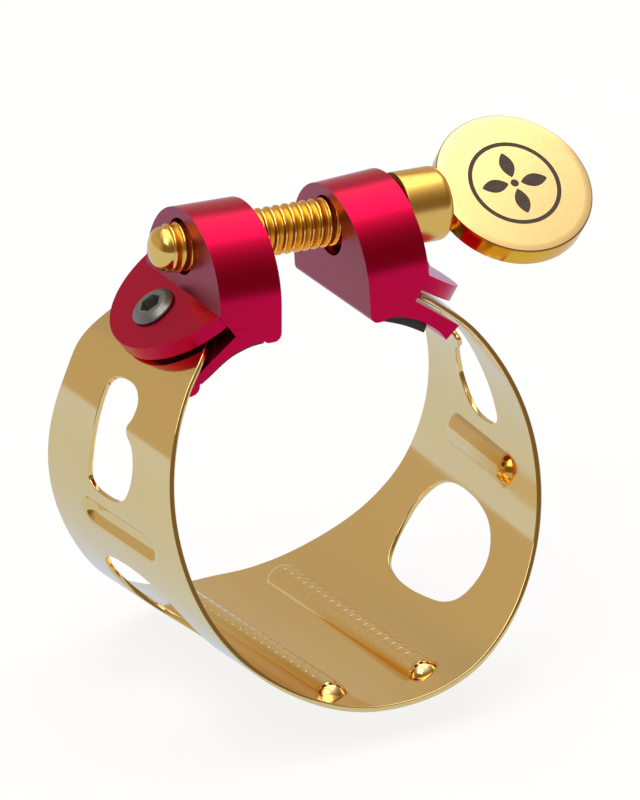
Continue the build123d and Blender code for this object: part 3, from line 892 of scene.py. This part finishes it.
def build_rod():
    """threaded rod with a domed tip on the left"""
    n = 112
    core = ROD_R - THREAD_DEPTH
    rows = []                           # (place along the screw, core radius, thread 0..1)
    for k in range(1, 15):
        a = math.pi / 2 * k / 14
        rows.append((ROD_TIP + ROD_DOME * (1 - math.cos(a)), core * math.sin(a), 0.0))
    step = PITCH / 20
    thread_start = ROD_TIP + ROD_DOME
    s = thread_start + step
    while s < COLLAR_START + 0.30:
        rows.append((s, core, min(1.0, (s - thread_start) / 0.16)))
        s += step
    side = SCREW_AXIS.cross(SCREW_UP)
    verts, faces, root = [tuple(on_screw(ROD_TIP))], [], [0.0]
    phi = np.arange(n) * 2 * math.pi / n
    for s, core_r, amount in rows:
        height = thread_height(s, phi)
        radii = core_r + amount * height
        root.extend(amount * (1 - height / THREAD_DEPTH))
        for k in range(n):
            radial = SCREW_UP * math.cos(phi[k]) + side * math.sin(phi[k])
            verts.append(tuple(on_screw(s) + radial * float(radii[k])))
    for k in range(n):
        faces.append((0, 1 + (k + 1) % n, 1 + k))
    for i in range(len(rows) - 1):
        a, b = 1 + i * n, 1 + (i + 1) * n
        for k in range(n):
            following = (k + 1) % n
            faces.append((a + k, a + following, b + following, b + k))
    end = len(verts)
    verts.append(tuple(on_screw(rows[-1][0])))
    root.append(0.0)
    last = 1 + (len(rows) - 1) * n
    for k in range(n):
        faces.append((last + k, last + (k + 1) % n, end))
    ob = new_mesh("threaded_rod", verts, faces)
    # the root weight carries the painted shade in the thread's roots
    add_attribute(ob, "root", np.array(root))
    fix_normals(ob)
    smooth(ob, 60)
    return ob


def build_collar():
    corners = [(COLLAR_START, 0), (COLLAR_START, COLLAR_R - 0.50),
               (COLLAR_START + 0.46, COLLAR_R), (COLLAR_END, COLLAR_R), (COLLAR_END, 0)]
    path = fillet_path(corners, radii=[0, 0.10, 0.22, 0.55, 0], segments=8)
    # a ring on each end face keeps the shading even
    profile = path[:1] + [(COLLAR_START, 1.0)] + path[1:-1] + [(COLLAR_END, 1.0)] + path[-1:]
    ob = lathe("collar", profile, on_screw(0), SCREW_AXIS, SCREW_UP, 128)
    smooth(ob, 30)
    return ob


# the knob is a coin that faces the front and up: centre, two axes on its face, face normal
_face = Vector((0, -math.cos(KNOB_TILT), 0)) + SCREW_UP * math.sin(KNOB_TILT)
KNOB_CENTRE, KNOB_X = on_screw(KNOB_AT), SCREW_AXIS
KNOB_Y, KNOB_NORMAL = _face.cross(SCREW_AXIS).normalized(), _face.normalized()


def build_knob():
    half = KNOB_T / 2
    path = fillet_path([(-half, 0), (-half, KNOB_R), (half, KNOB_R), (half, 0)],
                       radii=[0, 0.10, 0.10, 0], segments=6)
    # rings on the flat faces keep the shading even
    ring_radii = (1.0, 2.0, 3.2, 4.4)
    back = [(-half, r) for r in ring_radii]
    front = [(half, r) for r in reversed(ring_radii)]
    profile = [path[0]] + back + path[1:-1] + front + [path[-1]]
    ob = lathe("coin_knob", profile, KNOB_CENTRE, KNOB_NORMAL, KNOB_X, 160)
    smooth(ob, 35)
    return ob


MARK_RING = (2.95, 2.68)                # outer and inner radius
LEAF_START, LEAF_END, LEAF_HALF_WIDTH = 0.42, 2.2, 0.46
MARK_DOT_R = 0.26


def leaf_outline(turn):
    """one pointed leaf along the direction turn, from near the centre outwards"""
    stations = [(t, 1) for t in np.linspace(0, 1, 17)]
    stations += [(t, -1) for t in np.linspace(1, 0, 17)[1:-1]]
    cosine, sine = math.cos(turn), math.sin(turn)
    out = []
    for t, side in stations:
        x = LEAF_START + (LEAF_END - LEAF_START) * t
        y = side * LEAF_HALF_WIDTH * math.sin(math.pi * t) ** 0.8
        out.append((x * cosine - y * sine, x * sine + y * cosine))
    return out


def build_mark():
    """a plain mark for the knob's face: a ring round four leaves and a dot"""
    verts, faces = [], []

    def add_layers(*outlines):
        """put the outlines just under and just over the face; returns the first index"""
        base = len(verts)
        for z in (KNOB_T / 2 - 0.02, KNOB_T / 2 + 0.012):
            for outline in outlines:
                for p in outline:
                    verts.append(KNOB_CENTRE + KNOB_X * p[0] + KNOB_Y * p[1] + KNOB_NORMAL * z)
        return base

    def add_plate(outline):
        base, n = add_layers(outline), len(outline)
        faces.append(tuple(base + i for i in range(n))[::-1])
        faces.append(tuple(base + n + i for i in range(n)))
        for i in range(n):
            j = (i + 1) % n
            faces.append((base + i, base + j, base + n + j, base + n + i))

    def add_ring(outer, inner):
        base, n = add_layers(outer, inner), len(outer)
        top = base + 2 * n
        for i in range(n):
            j = (i + 1) % n
            faces.append((base + i, base + n + i, base + n + j, base + j))
            faces.append((top + i, top + j, top + n + j, top + n + i))
            faces.append((base + i, base + j, top + j, top + i))
            faces.append((base + n + i, top + n + i, top + n + j, base + n + j))

    add_ring(*(circle(r, 96) for r in MARK_RING))
    for k in range(4):
        add_plate(leaf_outline(math.pi / 2 * k))
    add_plate(circle(MARK_DOT_R, 32))
    ob = new_mesh("knob_mark", verts, faces)
    fix_normals(ob)
    smooth(ob, 30)
    return ob


# ---------------------------------------------------------------------------
# shader node helpers
# ---------------------------------------------------------------------------
class Nodes:
    """builds nodes in a tree; an input may be given a value or another node's output"""
    def __init__(self, tree):
        self.tree = tree

    def plug(self, socket, value):
        if isinstance(value, bpy.types.NodeSocket):
            self.tree.links.new(value, socket)
        elif socket.type == "RGBA":
            socket.default_value = (*value, 1)
        else:
            socket.default_value = value

    def node(self, kind, inputs=None, **properties):
        node = self.tree.nodes.new(kind)
        for key, value in properties.items():
            setattr(node, key, value)
        for key, value in (inputs or {}).items():
            self.plug(node.inputs[key], value)
        return node

    def ramp(self, fac, stops):
        """stops: (position, colour)"""
        node = self.node("ShaderNodeValToRGB", {"Fac": fac})
        elements = node.color_ramp.elements
        while len(elements) < len(stops):
            elements.new(0.5)
        for element, (position, colour) in zip(elements, stops):
            element.position = position
            element.color = (*colour, 1)
        return node.outputs["Color"]

    def remap(self, value, to, span=(0.0, 1.0)):
        """value's span mapped to another one, clamped"""
        return self.node("ShaderNodeMapRange", {
            "Value": value, "From Min": span[0], "From Max": span[1],
            "To Min": to[0], "To Max": to[1]}).outputs["Result"]

    def math(self, operation, *values):
        inputs = dict(enumerate(values))
        return self.node("ShaderNodeMath", inputs, operation=operation).outputs[0]

    def mix(self, fac, a, b):
        inputs = {0: fac, 6: a, 7: b}
        return self.node("ShaderNodeMix", inputs, data_type="RGBA", blend_type="MIX").outputs[2]

    def mix_shader(self, fac, a, b):
        return self.node("ShaderNodeMixShader", {0: fac, 1: a, 2: b}).outputs[0]


class Material(Nodes):
    def __init__(self, name):
        self.material = bpy.data.materials.new(name)
        self.material.use_nodes = True
        super().__init__(self.material.node_tree)
        self.bsdf = self.tree.nodes["Principled BSDF"]
        self.coords = self.node("ShaderNodeTexCoord")

    def noise(self, scale, detail, rough, vector=None):
        return self.node("ShaderNodeTexNoise", {
            "Vector": vector or self.coords.outputs["Object"],
            "Scale": scale, "Detail": detail, "Roughness": rough}).outputs["Fac"]

    def along(self, direction):
        """cosine between the surface normal and a direction"""
        inputs = {0: self.coords.outputs["Normal"], 1: tuple(direction)}
        return self.node("ShaderNodeVectorMath", inputs, operation="DOT_PRODUCT").outputs["Value"]

    def attribute(self, name):
        return self.node("ShaderNodeAttribute", attribute_name=name).outputs["Fac"]

    def bump(self, height, strength, distance, under=None):
        """normal of a bump, laid over another one if given; distance in metres"""
        inputs = {"Strength": strength, "Distance": distance, "Height": height}
        if under:
            inputs["Normal"] = under
        return self.node("ShaderNodeBump", inputs).outputs["Normal"]

    def set(self, **inputs):
        for name, value in inputs.items():
            self.plug(self.bsdf.inputs[name.replace("_", " ")], value)


# ---------------------------------------------------------------------------
# materials
# ---------------------------------------------------------------------------
KNOB_BEVEL_REFLECTION = (0.42, 0.20, 0.035)        # painted dark reflection on the knob's bevel, under the deeper gold of its rim
SHADE_BROWN = (0.20, 0.055, 0.012)      # painted shade and dark reflection of the lug, on the collar's end beside it


def score_bump(m, under):
    """fine scores across the crests of the two rails, in step with the modelled ones"""
    across = m.attribute("across")
    crest = m.attribute("crest")
    place = m.node("ShaderNodeSeparateXYZ", {0: m.coords.outputs["Object"]})
    y_mm = m.math("MULTIPLY", place.outputs["Y"], 1000.0)
    bow = m.math("MULTIPLY", m.math("MULTIPLY", across, across), SCORE_BOW)
    # a hundred pitches are added to keep the phase above zero
    shifted = m.math("ADD", m.math("ADD", y_mm, bow), 100 * SCORE_PITCH)
    phase = m.math("FRACT", m.math("DIVIDE", shifted, SCORE_PITCH))
    g = m.math("DIVIDE", m.math("SUBTRACT", phase, 0.5), SCORE_WIDTH / 2)
    g = m.math("EXPONENT", m.math("MULTIPLY", m.math("MULTIPLY", g, g), -1.0))
    return m.bump(m.math("MULTIPLY", g, crest), strength=0.34, distance=0.00006, under=under)


def gold(name, base, tint, rough, coat, attribute=None, painted_tone=None, deep_rough=None,
         facing=None, shade=None, score=False):
    """polished gold, mottled from base to tint

    attribute: mesh attribute that runs the colour to the deeper one and adds deep_rough; the
    deeper colour is painted reflection on the strap and painted shade in the screw's thread roots
    facing: normal of a flat face; off it the colour runs to a painted dark reflection on the
    bevel, then to the deeper colour, a painted reflection, on the rim
    shade: direction of the faces painted darker, as painted shade and reflection of the lug
    """
    m = Material(name)
    big = m.noise(scale=90, detail=2, rough=0.5)
    fine = m.noise(scale=2600, detail=4, rough=0.6)
    stretched = m.node("ShaderNodeMapping", {
        "Vector": m.coords.outputs["Object"],
        "Scale": (9000, 500, 900), "Rotation": (0.2, 0.5, 0.3)}).outputs["Vector"]
    scratches = m.noise(scale=1.0, detail=5, rough=0.65, vector=stretched)
    colour = m.mix(m.remap(big, to=(0.0, 0.55), span=(0.35, 0.7)), base, tint)
    roughness = m.math("ADD", m.remap(big, to=(rough * 0.8, rough * 1.3), span=(0.3, 0.7)),
                       m.remap(scratches, to=(-0.015, 0.03), span=(0.35, 0.75)))
    # the deeper colour laid by a mesh attribute is painted light: painted reflection on the strap,
    # painted shade in the thread roots
    if attribute:
        weight = m.attribute(attribute)
        colour = m.mix(weight, colour, painted_tone)
        roughness = m.math("ADD", roughness, m.remap(weight, to=(0.0, deep_rough)))
    if facing is not None:
        flat = m.math("ABSOLUTE", m.along(facing))
        # painted dark reflection on the bevel, then painted orange reflection on the rim
        colour = m.mix(m.remap(flat, to=(1.0, 0.0), span=(0.90, 0.99)), colour, KNOB_BEVEL_REFLECTION)
        colour = m.mix(m.remap(flat, to=(1.0, 0.0), span=(0.05, 0.30)), colour, painted_tone)
    if shade is not None:
        # painted shade and reflection of the lug on the faces turned towards it
        dark = m.remap(m.along(shade), to=(0.0, 1.0), span=(0.20, 0.50))
        colour = m.mix(dark, colour, SHADE_BROWN)
    m.set(Base_Color=colour, Metallic=1.0, Roughness=roughness,
          Coat_Weight=coat, Coat_Roughness=0.05, Coat_IOR=1.5)
    normal = m.bump(fine, strength=0.05, distance=0.00002)
    # broad waviness, at zero strength: the gold is polished flat
    waves = m.noise(scale=260, detail=2, rough=0.5)
    normal = m.bump(waves, strength=0.0, distance=0.0001, under=normal)
    if score:
        normal = score_bump(m, normal)
    m.set(Normal=normal)
    return m.material


def red_anodised():
    """dyed satin metal; faces square to x are rougher and painted darker, as painted shade"""
    m = Material("red_anodised")
    big = m.noise(scale=120, detail=2, rough=0.5)
    grain = m.noise(scale=9000, detail=3, rough=0.7)
    speck = m.noise(scale=2600, detail=2, rough=0.5)
    colour = m.mix(m.remap(big, to=(0, 1), span=(0.3, 0.7)),
                   (0.72, 0.0015, 0.052), (0.66, 0.0015, 0.045))
    normal = m.node("ShaderNodeSeparateXYZ", {0: m.coords.outputs["Normal"]})
    end = m.remap(m.math("ABSOLUTE", normal.outputs["X"]), to=(0, 1), span=(0.80, 0.97))
    # faces square to x are painted darker: painted shade
    colour = m.mix(end, colour, (0.38, 0.024, 0.042))
    colour = m.mix(m.remap(speck, to=(0, 0.45), span=(0.70, 0.78)), colour, (0.34, 0.002, 0.025))
    roughness = m.math("ADD", m.remap(grain, to=(0.20, 0.28), span=(0.3, 0.7)),
                       m.remap(big, to=(-0.015, 0.02), span=(0.3, 0.7)))
    m.set(Base_Color=colour, Metallic=0.96,
          Roughness=m.math("ADD", roughness, m.remap(end, to=(0.0, 0.10))),
          Coat_Weight=m.remap(end, to=(0.04, 0.20)), Coat_Roughness=0.25, Coat_IOR=1.6,
          Normal=m.bump(grain, strength=0.10, distance=0.00002))
    return m.material


def matt(name, surface, colours, roughness, strength, distance, patches=None, **others):
    """dull surface: one noise for roughness and bump, and another for the colour if given"""
    m = Material(name)
    fine = m.noise(**surface)
    broad = m.noise(**patches) if patches else fine
    m.set(Base_Color=m.mix(m.remap(broad, to=(0, 1), span=(0.35, 0.65)), *colours),
          Roughness=m.remap(fine, to=roughness, span=(0.3, 0.7)),
          Normal=m.bump(fine, strength=strength, distance=distance), **others)
    return m.material


def floor_material():
    """pale to the camera; to the polished metal a cooler floor, changing with distance"""
    m = Material("floor_pale")
    mottle = m.noise(scale=40, detail=3, rough=0.5)
    m.set(Base_Color=m.mix(m.remap(mottle, to=(0, 1), span=(0.3, 0.7)),
                           (0.90, 0.90, 0.90), (0.93, 0.93, 0.93)),
          Roughness=0.6, Specular_IOR_Level=0.2)
    camera_ray = m.node("ShaderNodeLightPath").outputs["Is Camera Ray"]
    position = m.node("ShaderNodeNewGeometry").outputs["Position"]
    # distance from the origin in metres
    distance = m.node("ShaderNodeVectorMath", {0: position}, operation="LENGTH").outputs["Value"]
    mirrored_colour = m.ramp(m.remap(distance, to=(0, 1), span=(0.02, 0.40)), [
        (0.0, (0.60, 0.69, 0.82)), (0.35, (0.62, 0.72, 0.98)), (1.0, (0.62, 0.72, 0.98))])
    mirrored = m.node("ShaderNodeEmission", {"Color": mirrored_colour, "Strength": 1.0})
    glow = m.node("ShaderNodeEmission", {"Color": (1, 1, 1), "Strength": 1.04})
    glow_share = 0.80
    seen = m.mix_shader(glow_share, m.bsdf.outputs[0], glow.outputs[0])
    surface = m.mix_shader(camera_ray, mirrored.outputs[0], seen)
    output = [n for n in m.tree.nodes if n.type == "OUTPUT_MATERIAL"][0]
    m.plug(output.inputs["Surface"], surface)
    return m.material


# the deeper gold on the bars' flanks and front ends is painted reflection
STRAP_GOLD = gold("strap_gold", base=(0.97, 0.685, 0.27), tint=(0.94, 0.645, 0.24), rough=0.09,
                  coat=0.25, attribute="painted_tone", painted_tone=(0.88, 0.45, 0.055), deep_rough=0.05,
                  score=True)
# the thread roots are painted a darker, deeper orange: painted shade
SCREW_GOLD = gold("screw_gold", base=(1.0, 0.64, 0.16), tint=(0.98, 0.58, 0.13), rough=0.13,
                  coat=0.0, attribute="root", painted_tone=(0.98, 0.44, 0.022), deep_rough=0.22)
COLLAR_GOLD = gold("collar_gold", base=(1.0, 0.59, 0.13), tint=(0.97, 0.54, 0.11), rough=0.23,
                   coat=0.0, shade=-SCREW_AXIS)
# the knob's darker bevel and deeper orange rim are painted reflection
KNOB_GOLD = gold("disc_gold", base=(0.93, 0.645, 0.275), tint=(0.91, 0.61, 0.24), rough=0.13,
                 coat=0.04, facing=KNOB_NORMAL, painted_tone=(1.0, 0.50, 0.035))
RED = red_anodised()
STEEL = matt("dark_steel", surface=dict(scale=3500, detail=3, rough=0.6),
             patches=dict(scale=500, detail=2, rough=0.5),
             colours=((0.30, 0.31, 0.285), (0.22, 0.225, 0.205)),
             roughness=(0.30, 0.48), strength=0.2, distance=0.00003, Metallic=0.9)
RUBBER = matt("pad_rubber", surface=dict(scale=3000, detail=4, rough=0.65),
              patches=dict(scale=300, detail=2, rough=0.5),
              colours=((0.040, 0.030, 0.024), (0.060, 0.046, 0.036)),
              roughness=(0.55, 0.8), strength=0.5, distance=0.00006, Metallic=0.0)
ENAMEL = matt("mark_enamel", surface=dict(scale=2500, detail=3, rough=0.6),
              colours=((0.075, 0.048, 0.036), (0.105, 0.070, 0.052)),
              roughness=(0.4, 0.55), strength=0.15, distance=0.00003,
              Metallic=0.0, Specular_IOR_Level=0.25)


# ---------------------------------------------------------------------------
# put it together
# ---------------------------------------------------------------------------
def finish_piece(ob, material, replaces=(), body=None):
    ob.data.materials.clear()
    ob.data.materials.append(material)
    if replaces:
        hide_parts(*replaces)
    if body:
        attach(ob, body)
    return ob


strap = finish_piece(build_strap(), STRAP_GOLD, ("band", "band_left_arm"))
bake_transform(strap)

# side, lug, bore (radius, y and height of its centre), long jaw, body, turn of the hex key
for side, lug, bore, long_jaw, body, key_turn in (
        ("left", LEFT, (1.72, 0.0, 0.0), True, "left_arm", 12),
        ("right", RIGHT, (1.86, -0.28, -0.14), False, "right_half", 20)):
    finish_piece(build_lug(side + "_lug_block", lug, bore, long_jaw), RED,
                 (side + "_lug",), body)
    finish_piece(build_pad(side + "_pad_strip", lug), RUBBER, (side + "_pad",), body)
    finish_piece(build_clamp(side + "_clamp_bolt", lug, key_turn), STEEL,
                 (side + "_clamp_screw",), body)

finish_piece(build_rod(), SCREW_GOLD, ("screw_shaft",), "thumb_screw")
finish_piece(build_collar(), COLLAR_GOLD, body="thumb_screw")
finish_piece(build_knob(), KNOB_GOLD, ("thumb_disc",), "thumb_screw")
finish_piece(build_mark(), ENAMEL, body="thumb_screw")


# ---------------------------------------------------------------------------
# stage, in metres: floor, world, lights, camera
# ---------------------------------------------------------------------------
FLOOR_HALF = 1500                       # mm
FLOOR_GAP = 0.0004                      # below the lowest point


def build_floor():
    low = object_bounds()[0]
    material = floor_material()
    h = FLOOR_HALF
    ob = new_mesh("floor", [(-h, -h, 0), (h, -h, 0), (h, h, 0), (-h, h, 0)], [(0, 1, 2, 3)])
    ob.location = (0, 0, low.z - FLOOR_GAP)
    ob.rotation_euler = Vector((0, 0, 1)).to_track_quat("Z", "Y").to_euler()
    ob.data.materials.append(material)


# sky colours: (height of the direction, -0.2 below the horizon to 1 straight up, colour)
BACK_SKY = [
    (-0.2, (0.52, 0.46, 0.36)), (0.46, (0.51, 0.45, 0.36)), (0.54, (0.35, 0.34, 0.37)),
    (0.68, (0.42, 0.41, 0.42)), (0.83, (0.72, 0.71, 0.70)), (0.91, (1.05, 1.04, 1.02)),
    (1.0, (1.06, 1.06, 1.06))]
FRONT_SKY = [
    (-0.2, (0.19, 0.135, 0.07)), (0.0, (0.19, 0.135, 0.07)), (0.45, (0.18, 0.135, 0.08)),
    (0.70, (0.32, 0.28, 0.23)), (0.82, (0.66, 0.63, 0.58)), (0.90, (1.04, 1.02, 0.99)),
    (1.0, (1.06, 1.06, 1.06))]


def build_world():
    """white to the camera; a banded sky, darker in front, to everything else"""
    world = bpy.data.worlds.new("studio")
    scene.world = world
    world.use_nodes = True
    world.node_tree.nodes.clear()
    w = Nodes(world.node_tree)
    output = w.node("ShaderNodeOutputWorld")
    camera_ray = w.node("ShaderNodeLightPath").outputs["Is Camera Ray"]
    coords = w.node("ShaderNodeTexCoord")
    direction = w.node("ShaderNodeSeparateXYZ", {0: coords.outputs["Generated"]})

    def sky(stops):
        height = w.remap(direction.outputs["Z"], to=(0.0, 1.0), span=(-0.2, 1.0))
        return w.ramp(height, [((z + 0.2) / 1.2, colour) for z, colour in stops])

    back_sky = sky(BACK_SKY)
    front_sky = sky(FRONT_SKY)
    towards_back = w.remap(direction.outputs["Y"], to=(0.0, 1.0), span=(-0.35, 0.25))
    colour = w.mix(towards_back, front_sky, back_sky)
    lit = w.node("ShaderNodeBackground", {"Color": colour, "Strength": 1.0})
    white = w.node("ShaderNodeBackground", {"Color": (1, 1, 1), "Strength": 1.0})
    w.plug(output.inputs["Surface"], w.mix_shader(camera_ray, lit.outputs[0], white.outputs[0]))


def square_light(name, location, size, power):
    """area light aimed at the origin"""
    light = bpy.data.lights.new(name, "AREA")
    light.shape = "RECTANGLE"
    light.size = light.size_y = size
    light.energy = power
    ob = bpy.data.objects.new(name, light)
    scene.collection.objects.link(ob)
    ob.location = location
    ob.rotation_euler = (-Vector(location)).to_track_quat("-Z", "Y").to_euler()


# camera: turn from straight behind the front, look down, roll; it looks at the origin
CAMERA_TURN, CAMERA_DOWN = math.radians(25.96), math.radians(22.52)
CAMERA_ROLL = math.radians(-1.56)
CAMERA_DISTANCE = 0.42
CAMERA_LENS, SENSOR_WIDTH = 315.0, 36.0     # mm
CAMERA_SHIFT = (0.027375, 0.0645)           # share of the picture's width


def build_camera():
    forward = Vector((math.sin(CAMERA_TURN) * math.cos(CAMERA_DOWN),
                      math.cos(CAMERA_TURN) * math.cos(CAMERA_DOWN), -math.sin(CAMERA_DOWN)))
    level = Vector((math.cos(CAMERA_TURN), -math.sin(CAMERA_TURN), 0))
    upright = level.cross(forward)
    right = level * math.cos(CAMERA_ROLL) + upright * math.sin(CAMERA_ROLL)
    up = -level * math.sin(CAMERA_ROLL) + upright * math.cos(CAMERA_ROLL)
    data = bpy.data.cameras.new("camera")
    ob = bpy.data.objects.new("camera", data)
    scene.collection.objects.link(ob)
    data.sensor_fit = "AUTO"
    data.sensor_width = SENSOR_WIDTH
    data.lens = CAMERA_LENS
    data.shift_x, data.shift_y = CAMERA_SHIFT
    data.clip_start, data.clip_end = 0.01, 10
    rotation = Matrix((right, up, -forward)).transposed()
    ob.matrix_world = Matrix.Translation(-forward * CAMERA_DISTANCE) @ rotation.to_4x4()
    scene.camera = ob


build_floor()
build_world()
square_light("key", location=(-0.30, -0.25, 0.60), size=0.45, power=1.2)
square_light("top", location=(0.16, 0.16, 0.60), size=0.60, power=1.3)
build_camera()
scene.view_settings.view_transform = "Standard"
scene.view_settings.look = "None"
